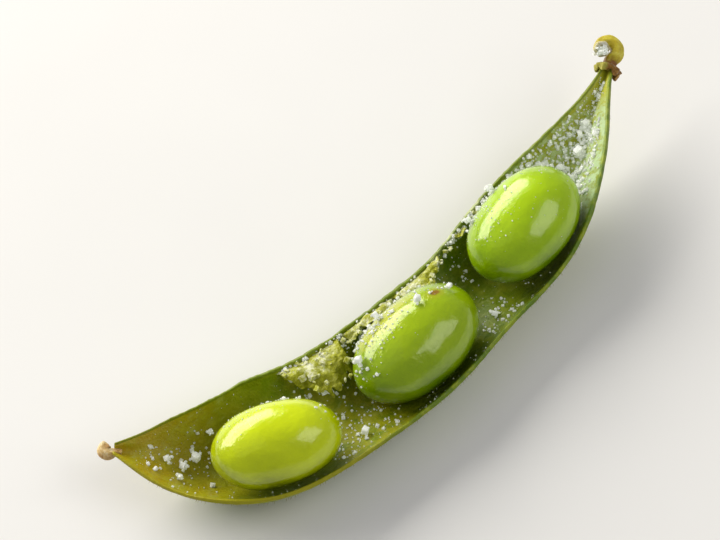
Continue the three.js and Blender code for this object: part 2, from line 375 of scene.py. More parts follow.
def lining_colour(sh, along, across, patches, mottle):
    """The inner face: yellow-olive near the tip, green in the middle, and frosted pale in the neck."""
    share = sh.math("DIVIDE", along, SPINE_LENGTH)
    colour = sh.ramp(sh.add(share, sh.swing(patches, 0.2)), [
        (0.0, "ae9406"), (0.12, "9c9206"), (0.24, "748b06"), (0.42, "6c8008"),
        (0.6, "5c7608"), (0.8, "8a981c"), (1.0, "a3a324"),
    ])
    colour = sh.mix(sh.between(mottle, 0.35, 0.75), colour, sh.mix(0.5, colour, "a8ac1e"))
    by_tear = sh.times(sh.between(along, 20, 24), sh.between(along, 33, 29))
    colour = sh.mix(sh.times(by_tear, sh.between(mottle, 0.3, 0.6)), colour, "9c9c10")
    streaks = sh.noise(1.4, 4, 0.75, 0.4, sh.stretched(0.5, 1.0, 1.0))
    film = sh.times(sh.between(streaks, 0.52, 0.7), sh.between(patches, 0.4, 0.6), 0.4)
    colour = sh.mix(film, colour, "b4bf72")
    neck = sh.times(sh.between(along, 57, 61.5), sh.between(along, 73.5, 70))
    outer_wall = sh.between(across, -0.02, -0.22)
    combed = sh.noise(1.8, 4, 0.7, 0.3, sh.stretched(1.0, 0.5, 0.25))
    frosted = sh.times(neck, outer_wall, sh.between(combed, 0.36, 0.56), 0.9)
    dusted = sh.times(neck, 0.6, sh.between(streaks, 0.42, 0.62))
    return sh.mix(sh.math("MAXIMUM", frosted, dusted), colour, "b9cfa0")


def skin_colour(sh, along, patches, mottle, grain):
    """The outer skin: green with yellower, rubbed bulges, olive ends and small brown marks."""
    colour = sh.ramp(patches, [(0.3, "5f7c0c"), (0.5, "7c9410"), (0.7, "9ea61a")])
    colour = sh.mix(sh.between(mottle, 0.45, 0.8), colour, "93a322")
    colour = sh.mix(sh.between(along, 12, 0), colour, "94840e")
    colour = sh.mix(sh.between(along, 64, 76), colour, "8c8f1c")
    colour = sh.mix(sh.times(sh.between(grain, 0.55, 0.8), 0.3), colour, "b4bc5c")
    marks = sh.times(sh.between(sh.cells(0.22), 0.16, 0.06), sh.between(patches, 0.5, 0.6), 0.8)
    return sh.mix(marks, colour, "6b4510")


def edge_colour(sh, along, across, mottle, colour):
    """A colour with the edges' own laid over it: green, olive by the tip, and pale along the tear."""
    outer_edge = sh.mix(sh.between(mottle, 0.4, 0.65), "55741a", "8f9c22")
    outer_edge = sh.mix(sh.between(along, 18, 34), "a39a18", outer_edge)
    colour = sh.mix(sh.times(sh.between(across, -0.96, -0.995), 0.8), colour, outer_edge)
    hollow_edge = sh.between(across, 0.97, 0.995)
    colour = sh.mix(sh.times(hollow_edge, 0.7), colour, "66780e")
    tear = sh.times(hollow_edge, sh.between(along, 44, 47), sh.between(along, 58, 54))
    tear = sh.times(tear, sh.between(sh.noise(0.45, 3), 0.35, 0.6))
    return sh.mix(tear, colour, "b4bd86")


def valve_material():
    """Outer skin and inner face in one: place holds the distance along, across, and 1 on the inner face."""
    sh = Shader("pod_valve", IOR=1.42, Specular_Tint=(1.0, 1.0, 0.7, 1.0))
    soft(sh, 0.15, 1.0, (1.0, 1.0, 0.2))
    _, along, across, inner = sh.place()
    patches = sh.noise(0.16, 3, 0.6)
    mottle = sh.noise(0.7, 4, 0.6)
    grain = sh.noise(3.2, 3, 0.6)
    skin = skin_colour(sh, along, patches, mottle, grain)
    lining = lining_colour(sh, along, across, patches, mottle)
    colour = sh.mix(inner, skin, lining)
    sh.colour(edge_colour(sh, along, across, mottle, colour))
    sh.roughness(mottle, 0.2, 0.5)
    veins = sh.cells(0.75, "DISTANCE_TO_EDGE", sh.stretched(0.55, 1.2, 1.0))
    veins = sh.times(sh.between(veins, 0.0, 0.2), sh.math("SUBTRACT", 1.0, inner))
    sh.bump(veins, 0.05, 0.6)
    sh.bump(mottle, 0.25, 0.6)
    sh.bump(grain, 0.1, 0.9)
    return sh.material


BEAN_EYE = (0.12, 0.97, -0.2)  # the direction of a bean's eye, where its seed stalk was


def bean_material(name, low, mid, high, spot=None, painted_lit_side=None):
    """A glossy cooked bean, in three colours from its underside up: painted shade low, its own green in the
    middle and painted light high, with random tone between. place holds the direction from its middle, as
    do spot, for a brown spot, and the lit side's direction, for a side painted paler and yellower as if lit
    by the window."""
    tint = (1.0, 1.0, 0.5, 1.0)
    sh = Shader(name, IOR=1.46, Specular_Tint=tint, Coat_Weight=0.7, Coat_Roughness=0.07)
    soft(sh, 0.3, 1.5, (1.0, 1.0, 0.1))
    vector, _, _, up = sh.place()
    broad = sh.noise(1.1, 2, 0.5, at=vector)
    fine = sh.noise(1.5, 4, 0.6)
    # Painted shade and light: low darkens the underside and high lightens the top, mixed with broad random
    # tone. The fine flecks of high below are random tone.
    height = sh.add(sh.times(up, 0.5), sh.times(broad, 0.8))
    colour = sh.ramp(height, [(0.2, low), (0.6, mid), (0.95, high)])
    colour = sh.mix(sh.times(sh.between(fine, 0.45, 0.8), 0.25), colour, high)
    colour = sh.mix(sh.between(sh.distance(vector, BEAN_EYE), 0.2, 0.12), colour, "8a7a2c")
    # Painted light: a paler, yellower patch on the side that faces the window light.
    if painted_lit_side:
        gap = sh.add(sh.distance(vector, painted_lit_side), sh.swing(fine, 0.9))
        colour = sh.mix(sh.times(sh.between(gap, 0.75, 0.3), 0.6), colour, "c0bc24")
    if spot:
        gap = sh.add(sh.distance(vector, spot), sh.swing(fine, 0.08))
        colour = sh.mix(sh.times(sh.between(gap, 0.24, 0.1), 0.45), colour, "a8a01c")
        colour = sh.mix(sh.times(sh.between(gap, 0.1, 0.05), 0.85), colour, "8c5a10")
    sh.colour(colour)
    sh.roughness(fine, 0.06, 0.2)
    sh.bump(sh.noise(0.55, 4, 0.6), 0.35, 0.5)
    sh.bump(sh.noise(1.7, 4, 0.65), 0.05, 0.4)
    sh.bump(sh.noise(5.0, 2, 0.5), 0.03, 0.7)
    return sh.material


def dried_material(name, pale, mid, dark, scale):
    """Dried tissue in three tones. place holds 0 where it is still green, and 1 where it is dry."""
    sh = Shader(name, IOR=1.4, Sheen_Weight=0.1)
    soft(sh, 0.15, 0.6)
    _, dry, _, _ = sh.place()
    tone = sh.noise(scale, 4, 0.65, 0.4)
    colour = sh.ramp(tone, [(0.28, dark), (0.5, mid), (0.72, pale)])
    dry = sh.add(dry, sh.swing(tone, 0.8))
    colour = sh.mix(sh.between(dry, 0.65, 0.3), colour, "a9a13a")
    sh.colour(colour)
    sh.roughness(tone, 0.4, 0.7)
    sh.bump(sh.noise(scale * 4, 4, 0.6), 0.12, 0.8)
    return sh.material


def stalk_material():
    """The stalk: place holds the share of its length, and 1 on its cut face."""
    sh = Shader("stalk", IOR=1.42, Coat_Weight=0.2, Coat_Roughness=0.2)
    soft(sh, 0.25, 0.8)
    _, share, cut, _ = sh.place()
    tone = sh.noise(1.3, 4, 0.6)
    colour = sh.ramp(tone, [(0.3, "b09a1e"), (0.55, "c9ba2c"), (0.75, "d8cf58")])
    base = sh.between(sh.add(share, sh.times(tone, 0.2)), 0.34, 0.16)
    colour = sh.mix(base, colour, "8a5a18")
    pith = sh.ramp(sh.noise(2.2, 4, 0.7), [(0.3, "a39a52"), (0.5, "c4bfa0"), (0.7, "d6d4c8")])
    colour = sh.mix(sh.times(cut, sh.between(tone, 0.2, 0.5)), colour, pith)
    sh.colour(colour)
    sh.roughness(tone, 0.28, 0.58)
    sh.bump(sh.noise(3.0, 4, 0.6), 0.1, 0.7)
    return sh.material


def tissue_material():
    """The torn front valve: cream where it is stringy, and yellow-green where it is whole. place holds
    the distance along at the strip's start, the reach from the valve's edge, and 1 on a crumb."""
    sh = Shader("torn_tissue", IOR=1.4, Specular_Tint=(1.0, 1.0, 0.8, 1.0))
    soft(sh, 0.35, 0.6, (1.0, 1.0, 0.5))
    _, start, reach, crumb = sh.place()
    tone = sh.noise(0.75, 4, 0.75)
    whole = sh.times(sh.between(reach, 0.35, 0.8), sh.between(start, 30, 25))
    pale = sh.math("SUBTRACT", sh.times(tone, 1.65), sh.times(whole, 0.45))
    pale = sh.add(pale, sh.times(crumb, 0.08))
    colour = sh.ramp(pale, [(0.4, "8c8e08"), (0.7, "a5a818"), (0.88, "c6c87c"), (0.98, "e0e0ba")])
    sh.colour(colour)
    sh.roughness(tone, 0.3, 0.6)
    sh.bump(sh.noise(1.4, 3, 0.6), 0.35, 0.8)
    sh.bump(sh.noise(4.5, 3, 0.7), 0.12, 0.9)
    return sh.material


def salt_material():
    """Milky crystals. A little emission stands for the light that they pass on to each other."""
    glow = dict(Emission_Color=rgb("f6ffe8"), Emission_Strength=0.09)
    sh = Shader("salt", IOR=1.54, Transmission_Weight=0.2, Roughness=0.25, **glow)
    soft(sh, 1.0, 0.8, (1.0, 1.0, 1.0))
    cloud = sh.noise(1.6, 3, 0.6)
    sh.colour(sh.ramp(cloud, [(0.3, "eef2ea"), (0.6, "fbfbf8"), (0.8, "ffffff")]))
    sh.bump(sh.noise(5.0, 3, 0.6), 0.12, 0.8)
    return sh.material


def hair_material():
    """Pale straw-coloured hairs."""
    sh = Shader("pod_hair", IOR=1.5, Roughness=0.4, Sheen_Weight=0.3)
    soft(sh, 0.3, 0.3)
    tone = sh.noise(0.3, 2)
    sh.colour(sh.ramp(tone, [(0.35, "a89a52"), (0.65, "cfc99a")]))
    return sh.material


def floor_material():
    """A plain floor, very slightly uneven in tone."""
    sh = Shader("pale_floor", Roughness=0.7)
    tone = sh.noise(0.02, 3)
    sh.colour(sh.ramp(tone, [(0.3, "e9e7e3"), (0.7, "edebe7")]))
    return sh.material


# ---- Camera, light and floor, in metres ----
# The camera's right and up, how far it is from what it looks at, and how far that is from the middle.
VIEW_RIGHT = Vector((0.7386, -0.6690, -0.0833))
VIEW_UP = Vector((0.6023, 0.5992, 0.5276))
VIEW_BACK = VIEW_RIGHT.cross(VIEW_UP).normalized()
VIEW_DISTANCE = 0.377
VIEW_SHIFT_RIGHT = -0.0066
VIEW_SHIFT_UP = 0.0036
LENS = 172
POD_MIDDLE = Vector((0.0, 0.0, 0.005))
VIEW_CENTRE = POD_MIDDLE + VIEW_RIGHT * VIEW_SHIFT_RIGHT + VIEW_UP * VIEW_SHIFT_UP
FLOOR_SIZE = 3.0


def add_camera():
    data = bpy.data.cameras.new("camera")
    data.lens = LENS
    data.sensor_width = 36
    data.clip_start = 0.01
    camera = add_object("camera", data)
    turn = Matrix((VIEW_RIGHT, VIEW_UP, VIEW_BACK)).transposed()
    camera.matrix_world = Matrix.Translation(VIEW_CENTRE + VIEW_BACK * VIEW_DISTANCE) @ turn.to_4x4()
    bpy.context.scene.camera = camera


def add_area_light(name, direction, distance, size, watts, colour="ffffff"):
    data = bpy.data.lights.new(name, "AREA")
    data.shape = "RECTANGLE"
    data.size, data.size_y = size
    data.energy = watts
    data.color = rgb(colour)[:3]
    light = add_object(name, data)
    away = Vector(direction).normalized()
    light.location = POD_MIDDLE + away * distance
    light.rotation_euler = away.to_track_quat("Z", "Y").to_euler()


def add_surroundings():
    add_area_light("window_behind", (-0.08, 0.87, 0.49), 0.6, (0.8, 0.36), 5.9, "fffdf6")
    add_area_light("softbox_in_front", (0.46, -0.55, 0.69), 0.5, (0.34, 0.3), 0.8)
    add_area_light("overhead", (-0.4, 0.2, 0.9), 0.9, (0.8, 0.8), 0.3)
    world = bpy.data.worlds.new("studio")
    world.use_nodes = True
    background = world.node_tree.nodes["Background"].inputs
    background["Color"].default_value = rgb("f8f8ff")
    background["Strength"].default_value = 0.26
    bpy.context.scene.world = world
    bpy.context.scene.view_settings.view_transform = "Standard"
    far = FLOOR_SIZE / 2 / MM
    corners = [(-far, -far, 0), (far, -far, 0), (far, far, 0), (-far, far, 0)]
    floor = make_mesh("floor", corners, [(0, 1, 2, 3)], floor_material())


# ---- The valve ----
VALVE_ROWS = 430
VALVE_COLUMNS = 84
EDGE_POINTS = 5
TORN_WALL = 0.32  # the edges' thickness, where the CAD has RIM_WALL
# Relief: the skin's lumps, cross wrinkles, thick seams and the dips beside them, and the lining's.
LUMPS = 0.1
WRINKLES = 0.045
SEAM_RIDGE = 0.16
SEAM_DIP = 0.06
LINING_LUMPS = 0.08
LINING_WRINKLES = 0.03


def on_line(values):
    """Noise's points for distances along the middle line."""
    return np.stack([values, values * 0, values * 0], 1)


def edge_wander(s):
    """How far the torn edges wander from a clean cut, as a share of the section, on either side."""
    points = on_line(s)
    hollow = 0.022 * wobble(points, 2.6, 1) + 0.012 * wobble(points, 0.7, 2)
    outer = 0.012 * wobble(points, 4.0, 3) + 0.006 * wobble(points, 1.0, 4)
    ends = smooth(s, 0, 4) * smooth(SPINE_LENGTH - s, 0, 4)
    return hollow * ends, outer * ends


def build_valve(material):
    """The back valve: a grid of points round its section, by its skin, edge, lining and other edge."""
    s = np.linspace(0, SPINE_LENGTH, VALVE_ROWS)
    hollow, outer = edge_wander(s)
    even = np.linspace(-1, 1, VALVE_COLUMNS + 1)
    wander = np.where(even > 0, hollow[:, None], outer[:, None])
    across = even * (1 + wander * np.abs(even) ** 8)
    skin = np.array(valve_skin(s[:, None], across))
    lining = np.array(valve_inner(s[:, None], across, TORN_WALL))

    def edge(column, turn):
        """Points round an edge, from the skin to the lining."""
        middle = (skin[..., column, None] + lining[..., column, None]) / 2
        half = (skin[..., column, None] - lining[..., column, None]) / 2
        outward = np.stack([-half[1], half[0]]) * turn
        angles = np.pi * (np.arange(EDGE_POINTS) + 1) / (EDGE_POINTS + 1)
        return middle + half * np.cos(angles) + outward * np.sin(angles)

    x, z = np.concatenate([skin, edge(-1, 1), lining[..., ::-1], edge(0, -1)[..., ::-1]], 2)
    ones = np.ones((VALVE_ROWS, EDGE_POINTS))
    inner = np.hstack([0 * across, 0.5 * ones, 0 * across + 1, 0.5 * ones])
    across = np.hstack([across, ones, across[:, ::-1], -ones])
    columns = x.shape[1]
    along = np.repeat(s[:, None], columns, 1)
    flat = pod_point(along, x, z).reshape(-1, 3)

    nx, nz = skin_normal(along, np.clip(across, -1, 1))
    lumps = wobble(flat, 5.0, 5).reshape(x.shape)
    wrinkles = wobble(flat * (1.0, 0.45, 0.45), 0.9, 6).reshape(x.shape)
    seam = smooth(np.abs(across), 0.9, 0.99)
    dip = smooth(np.abs(across), 0.8, 0.88) * (1 - seam)
    outward = LUMPS * lumps + WRINKLES * wrinkles + SEAM_RIDGE * seam - SEAM_DIP * dip
    inward = LINING_LUMPS * lumps - LINING_WRINKLES * wrinkles
    ends = smooth(along, 0, 3) * smooth(SPINE_LENGTH - along, 0, 3)
    shift = np.where(inner < 0.5, -outward * smooth(z, 0.05, 1.2), inward * (inner == 1)) * ends
    points = pod_point(along, x + nx * shift, np.maximum(z + nz * shift, 0)).reshape(-1, 3)

    last = (VALVE_ROWS - 1) * columns
    faces = [face[::-1] for face in grid_faces(VALVE_ROWS, columns)]
    faces.append(tuple(range(columns)))
    faces.append(tuple(last + k for k in reversed(range(columns))))
    places = np.stack([along, across, inner], -1).reshape(-1, 3)
    add_piece("back_valve_skin", points, faces, material, ["back_valve"], places)


# ---- What is left of the front valve, along the hollow side ----
# Where each strip starts and ends along the middle line.
STRIPS = [(21.2, 30.4), (30.9, 38.2), (38.6, 46.4), (49.5, 51.4)]
STRIP_HEIGHTS = profile([
    [21, 0.4], [23, 3.5], [25, 5.8], [28, 5.3], [30, 3.2], [32, 2.2], [36, 2.2], [39, 2.0],
    [42, 2.8], [46, 1.4], [52, 0.7],
])
# Degrees from upright towards the beans, where a strip leaves the edge and at its own torn edge.
STRIP_LEANS = profile([[21, 60], [29, 65], [32, 40], [38, 40], [42, 50], [52, 30]])
STRIP_CURLS = profile([[21, 110], [29, 115], [32, 75], [38, 75], [42, 90], [52, 60]])
STRIP_WALL = 0.2
STRIP_COLUMNS = 34
TORN_FROM = 0.97  # where across the valve the strips start
# Crumbs along the strips: (from, to) along, count, and the (least, most) share of the strip's height.
CRUMBS = [
    ((21.5, 28), 34, (0.0, 0.5)), ((23, 30), 12, (0.4, 1.0)), ((30, 38), 26, (0.1, 0.9)),
    ((39, 46), 26, (0.1, 0.9)), ((46, 54), 8, (0.1, 0.9)),
]
CRUMB_PLACE = (50, 0.5, 1)  # as on a stringy strip


def strip_sections(s, number):
    """Points (rows, columns, 3) on a strip's middle surface, with its raggedness and creases."""
    share = (s - s[0]) / (s[-1] - s[0])
    ragged = 0.35 * wobble(on_line(s), 1.3, 11 + number) + 0.12 * wobble(on_line(s), 0.5, 23 + number)
    tall = STRIP_HEIGHTS(s) * smooth(np.sin(np.pi * share), 0, 0.35) * np.clip(0.9 + ragged, 0.3, 1.5)
    root_x, root_z = valve_inner(s, TORN_FROM, TORN_WALL)
    reach = np.linspace(0, 1, STRIP_COLUMNS)
    lean = np.radians(STRIP_LEANS(s)[:, None] + (STRIP_CURLS(s) - STRIP_LEANS(s))[:, None] * reach)
    step = tall[:, None] / (STRIP_COLUMNS - 1)
    inward = np.cumsum(np.sin(lean) * step, 1)
    upward = np.cumsum(np.cos(lean) * step, 1)
    points = pod_point(s[:, None], root_x[:, None] - inward, root_z[:, None] - 0.1 + upward)
    flat = points.reshape(-1, 3)
    crease = 0.75 * wobble(flat, 1.5, 31 + number) + 0.25 * wobble(flat, 0.6, 37 + number)
    crease = (crease * np.tile(smooth(reach, 0, 0.5), len(s))).reshape(points.shape[:2])
    points[..., 2] += crease
    points[..., 1] += 0.5 * crease
    return points, np.tile(reach, (len(s), 1))


def strip_faces(rows, first):
    """A strip's two sides and the rim between them, from its first point's number."""
    columns = STRIP_COLUMNS
    other = first + rows * columns
    faces = []
    for face in grid_faces(rows, columns, False):
        faces.append(tuple(first + k for k in face))
        faces.append(tuple(other + k for k in reversed(face)))
    rim = [i * columns for i in range(rows)]
    rim += [(rows - 1) * columns + k for k in range(1, columns)]
    rim += [i * columns + columns - 1 for i in reversed(range(rows - 1))]
    rim += list(reversed(range(1, columns - 1)))
    for a, b in zip(rim, rim[1:] + rim[:1]):
        faces.append((first + b, first + a, other + a, other + b))
    return faces


def build_torn_strips(material):
    """Thin strips of the front valve that lean over the beans from the hollow side's edge."""
    points, faces, places = [], [], []
    for number, (start, end) in enumerate(STRIPS):
        rows = int((end - start) * 18)
        middle, reach = strip_sections(np.linspace(start, end, rows), number)
        normal = np.cross(np.gradient(middle, axis=0), np.gradient(middle, axis=1))
        normal /= np.linalg.norm(normal, axis=2)[..., None] + 1e-9
        thick = STRIP_WALL * (1.1 - 0.8 * reach ** 3)
        faces += strip_faces(rows, sum(len(part) for part in points))
        for side in (-0.5, 0.5):
            points.append((middle + normal * (side * thick)[..., None]).reshape(-1, 3))
            places.append(np.stack([0 * reach + start, reach, 0 * reach], -1).reshape(-1, 3))
    points, places = np.vstack(points), np.vstack(places)
    add_piece("torn_front_valve", points, faces, material, places=places)


def build_crumbs(material):
    """Pale crumbs of torn tissue, caught along the strips."""
    rng = random.Random(3)
    parts = []
    for (start, end), count, (low, high) in CRUMBS:
        for _ in range(count):
            s = rng.uniform(start, end)
            tall = STRIP_HEIGHTS(s) * rng.uniform(low, high)
            lean = math.radians(STRIP_LEANS(s) + 15)
            x, z = valve_inner(s, TORN_FROM, TORN_WALL)
            up = z + 0.07 + tall * math.cos(lean)
            centre = pod_point(s, x - tall * math.sin(lean), up)
            parts.append(crystal(rng, centre, rng.uniform(0.2, 0.55), (0.2, 1.0)))
    points, faces = join_parts(parts)
    add_piece("torn_crumbs", points, faces, material, places=CRUMB_PLACE, faceted=True)


# ---- Beans ----
BEAN_RINGS = 71
BEAN_SEGMENTS = 120


def bean_point(size, x, y, z):
    """A point on a bean in unit direction (x, y, z). It has blunt ends, and a hollow by its eye."""
    long, wide, thick = size
    fullness = 1 - BEAN_BLUNTNESS * (2 * x * x - 1) ** 2
    hollow = 1 - BEAN_HOLLOW * np.maximum(y, 0) * (1 - x * x)
    return np.stack([x * long / 2, y * fullness * hollow * wide / 2, z * fullness * thick / 2], -1)


def bean_frame(bean):
    """The matrix that puts a bean where the CAD has it, and its middle in the row frame."""
    turn = heading(bean["at"]) + math.radians(bean["turn"])
    matrix = Matrix.Rotation(turn, 3, "Z") @ Matrix.Rotation(math.radians(-bean["tilt"]), 3, "Y")
    middle = pod_point(bean["at"], bean["aside"], bean["up"])
    return np.array(matrix), middle


def bean_directions():
    """Unit directions in rings round the bean's long axis, and then one for each end."""
    turns = np.linspace(0, np.pi, BEAN_RINGS + 2)[1:-1]
    rounds = np.linspace(0, 2 * np.pi, BEAN_SEGMENTS, endpoint=False)
    x = np.cos(turns)[:, None] + 0 * rounds
    y = np.sin(turns)[:, None] * np.cos(rounds)
    z = np.sin(turns)[:, None] * np.sin(rounds)
    rings = np.stack([x, y, z], -1).reshape(-1, 3)
    return np.vstack([rings, [1, 0, 0], [-1, 0, 0]])


def build_bean(name, material, seed):
    """A slightly lumpy bean with a raised eye, and beside it the groove over its root."""
    bean = BEANS[name]
    directions = bean_directions()
    local = bean_point(bean["size"], *directions.T)
    relief = 0.07 * wobble(local, 3.2, seed) + 0.02 * wobble(local, 1.1, seed + 1)
    eye = np.linalg.norm(directions - BEAN_EYE, axis=1)
    relief -= 0.16 * np.exp(-((eye - 0.3) / 0.09) ** 2) * smooth(directions[:, 0], 0.0, 0.3)
    relief += 0.1 * np.exp(-((eye / 0.14) ** 2))
    local = local + directions * relief[:, None]
    matrix, middle = bean_frame(bean)
    points = local @ matrix.T + middle
    faces = [face[::-1] for face in capped_faces(BEAN_RINGS, BEAN_SEGMENTS)]
    add_piece(name + "_seed", points, faces, material, [name], directions)


# ---- Stalk, calyx and style ----
def unit(vector):
    """The vector at length 1."""
    return np.asarray(vector, float) / np.linalg.norm(vector)


NECK_HEADING = heading(SPINE_LENGTH)
NECK_HEIGHT = RIM_HEIGHT + rim_rise(SPINE_LENGTH) - depth(SPINE_LENGTH) / 2
NECK_END = pod_point(SPINE_LENGTH, 0, NECK_HEIGHT)
NECK_WAY = unit([math.cos(NECK_HEADING), math.sin(NECK_HEADING), NECK_RISE])
HOLLOW_WAY = np.array([-math.sin(NECK_HEADING), math.cos(NECK_HEADING), 0])
UP_WAY = np.array([0, 0, 1.0])


def lengths_along(points):
    """Each point's distance from the first, along the line through them."""
    return np.concatenate([[0], np.cumsum(np.linalg.norm(np.diff(points, axis=0), axis=1))])


def curve_through(points, count):
    """Evenly spaced points on a smooth curve through the given ones."""
    points = np.asarray(points, float)
    steps = lengths_along(points)
    axes = [profile(np.stack([steps, points[:, i]], 1)) for i in range(3)]
    fine = np.linspace(0, steps[-1], 400)
    line = np.stack([axis(fine) for axis in axes], 1)
    run = lengths_along(line)
    even = np.linspace(0, run[-1], count)
    return np.stack([np.interp(even, run, line[:, i]) for i in range(3)], 1)


def tube(route, radius, sides, ribs, rib_depth, seed):
    """A slightly rough tube along a route. radius is a function of the share of its length."""
    count = len(route)
    ways = np.gradient(route, axis=0)
    ways /= np.linalg.norm(ways, axis=1)[:, None]
    side = unit(np.cross(ways[0], (0.3, 0.2, 0.9)))
    rings = []
    around = np.linspace(0, 2 * np.pi, sides, endpoint=False)
    for i in range(count):
        side = unit(side - ways[i] * np.dot(side, ways[i]))
        other = np.cross(ways[i], side)
        reach = radius(i / (count - 1)) * (1 + rib_depth * np.cos(around * ribs))
        circle = np.cos(around)[:, None] * side + np.sin(around)[:, None] * other
        rings.append(route[i] + circle * reach[:, None])
    points = np.vstack(rings)
    centre = np.repeat(route, sides, 0)
    rough = 1 + 0.07 * wobble(points, 0.8, seed)
    points = centre + (points - centre) * rough[:, None]
    points = np.vstack([points, route[0], route[-1]])
    return points, capped_faces(count, sides)


def stalk_line():
    """The stalk's middle line, from inside the calyx to its cut end."""
    start = NECK_END + NECK_WAY * (CALYX["base"] + 3 * GAP)
    route = [start + NECK_WAY * a + HOLLOW_WAY * h + UP_WAY * u for a, h, u in STALK_ROUTE]
    return curve_through([start - NECK_WAY * STALK_ROOT, *route], 90)


def build_stalk(material):
    """A stubby, ribbed hook with a swollen, cut end."""
    line = stalk_line()
    thick = profile([[0, 0.9], [0.12, 1.15], [0.3, 1.1], [0.6, 1.05], [0.85, 1.1], [0.97, 1.3], [1, 1.15]])
    sides = 60
    points, faces = tube(line, lambda t: thick(t) * STALK_RADIUS, sides, 6, 0.04, 41)
    # The cut face: a shallow hollow with a rough rim.
    points[-1] += (line[-2] - line[-1]) * 4
    share = np.append(np.repeat(np.linspace(0, 1, len(line)), sides), [0, 1])
    cut = smooth(share, 0.9, 0.96)
    places = np.stack([share, cut, 0 * cut], 1)
    add_piece("stalk_hook", points, faces, material, ["stalk"], places)


SHRIVEL = 0.72  # the length that the dried sepals keep
CLING = 0.17  # how far their mouth is drawn in towards the neck


def build_calyx(material):
    """A ragged cup of dried sepals. y runs from its mouth, towards the tip, to its base."""
    inner, wall, length, base, lobe_length, lobe_count = CALYX.values()
    waist = length / 2
    cup = [
        (0.02, length - base), (0.5 * inner, length - base), (0.8 * inner, length - base - 0.1),
        (inner - 0.1, waist), (inner - 0.05, 0.3), (inner + 0.05, 0.0), (inner + wall / 2, -0.08),
        (inner + 0.8 * wall, 0.0), (inner + wall - 0.04, 0.3), (inner + wall - 0.08, waist),
        (0.7 * inner + wall, length - 0.3), (0.4 * inner + wall, length - 0.05), (0.02, length),
    ]
    outline = curve_through([(r, y, 0) for r, y in cup], 60)
    sides = 150
    around = np.linspace(0, 2 * np.pi, sides, endpoint=False)
    side = unit(np.cross(NECK_WAY, UP_WAY))
    other = np.cross(side, NECK_WAY)
    ring = np.cos(around)[:, None] * side + np.sin(around)[:, None] * other
    radius, y = outline[:, 0][:, None], outline[:, 1][:, None]
    mouth = np.clip(1 - y / waist, 0, None)
    ragged = wobble(np.stack([np.cos(around) * 2, np.sin(around) * 2, 0 * around], 1), 0.5, 51)
    dry = smooth(ring @ -HOLLOW_WAY, -0.5, 0.6)
    lobes = (np.cos(around * lobe_count) * lobe_length + 0.3 * ragged) * (0.5 + 0.3 * dry)
    y = length - (length - y) * SHRIVEL + lobes[None, :] * mouth
    pointed = np.clip(-lobes, 0, None)[None, :] * mouth
    radius = radius * (1 + 0.06 * np.cos(around * 10 + 1) - CLING * mouth) + 0.15 * pointed
    origin = NECK_END + NECK_WAY * (GAP + base - length)
    points = origin + NECK_WAY * y[..., None] + ring[None] * radius[..., None]
    dry = np.tile(dry, len(outline))
    points = points.reshape(-1, 3)
    points += 0.06 * wobble(points, 0.7, 52)[:, None] * NECK_WAY
    faces = grid_faces(len(outline), sides)
    last = (len(outline) - 1) * sides
    faces.append(tuple(reversed(range(sides))))
    faces.append(tuple(last + k for k in range(sides)))
    places = np.stack([dry, 0 * dry, 0 * dry], 1)
    add_piece("calyx_sepals", points, faces, material, ["calyx"], places)


def build_style(material):
    """The dried style: a short, crumpled bulb on the tip."""
    low, high = (np.array(corner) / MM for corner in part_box("style_tip"))
    end = (low + high) / 2
    tip = pod_point(0.8, 0, RIM_HEIGHT + 0.75)
    way = unit(end - tip)
    bend = np.array([way[1], -way[0], 0])
    route = [
        tip, tip + way * 0.45, end - way * 0.55 - bend * 0.35, end - way * 0.15 - bend * 0.15,
        end - way * 0.1 + bend * 0.4, end - way * 0.3 + bend * 0.75,
    ]
    thick = profile([[0, 0.3], [0.25, 0.42], [0.5, 0.68], [0.75, 0.78], [0.93, 0.62], [1, 0.25]])
    points, faces = tube(curve_through(route, 44), thick, 40, 5, 0.1, 61)
    add_piece("dried_style", points, faces, material, ["style_tip"], (1, 0, 0))


# ---- Salt ----
# A box's corners, numbered by the bits of x, y and z, and its six faces.
CORNER_SIGNS = [[1 if corner >> bit & 1 else -1 for bit in range(3)] for corner in range(8)]
BOX_FACES = [(0, 2, 3, 1), (4, 5, 7, 6), (0, 1, 5, 4), (2, 6, 7, 3), (0, 4, 6, 2), (1, 3, 7, 5)]


def corner_points(rng, centre, radius, proportions, count, reach):
    """Points scattered near the corners of a turned box, count by each corner."""
    angle = rng.uniform(0, 6.28)
    axis = Vector([rng.gauss(0, 1) for _ in range(3)]).normalized()
    turn = Matrix.Rotation(angle, 3, axis)
    shape = [rng.uniform(*proportions) for _ in range(3)]
    points = []
    for signs in CORNER_SIGNS:
        for _ in range(count):
            spot = Vector([sign * size * rng.uniform(*reach) for sign, size in zip(signs, shape)])
            points.append(turn @ spot * radius + Vector(centre))
    return points


def crystal(rng, centre, radius, proportions=(0.55, 0.85)):
    """A lump: the hull of three points by each corner of a box."""
    mesh = bmesh.new()
    for point in corner_points(rng, centre, radius, proportions, 3, (0.45, 1.0)):
        mesh.verts.new(point)
    made = bmesh.ops.convex_hull(mesh, input=mesh.verts)
    spare = [v for v in made["geom_interior"] if isinstance(v, bmesh.types.BMVert)]
    bmesh.ops.delete(mesh, geom=spare, context="VERTS")
    mesh.verts.index_update()
    points = [tuple(v.co) for v in mesh.verts]
    faces = [tuple(v.index for v in f.verts) for f in mesh.faces]
    mesh.free()
    return points, faces


def salt_box(rng, centre, radius):
    """A small crystal: an uneven box."""
    return corner_points(rng, centre, radius, (0.45, 0.85), 1, (0.8, 1.1)), BOX_FACES


def join_parts(parts):
    """One mesh's points and faces from those of its parts."""
    points, faces = [], []
    for part_points, part_faces in parts:
        start = len(points)
        points.extend(part_points)
        faces.extend(tuple(start + k for k in face) for face in part_faces)
    return points, faces


GRAIN_DROP = 0.35  # the CAD's gap below a grain, and a little more


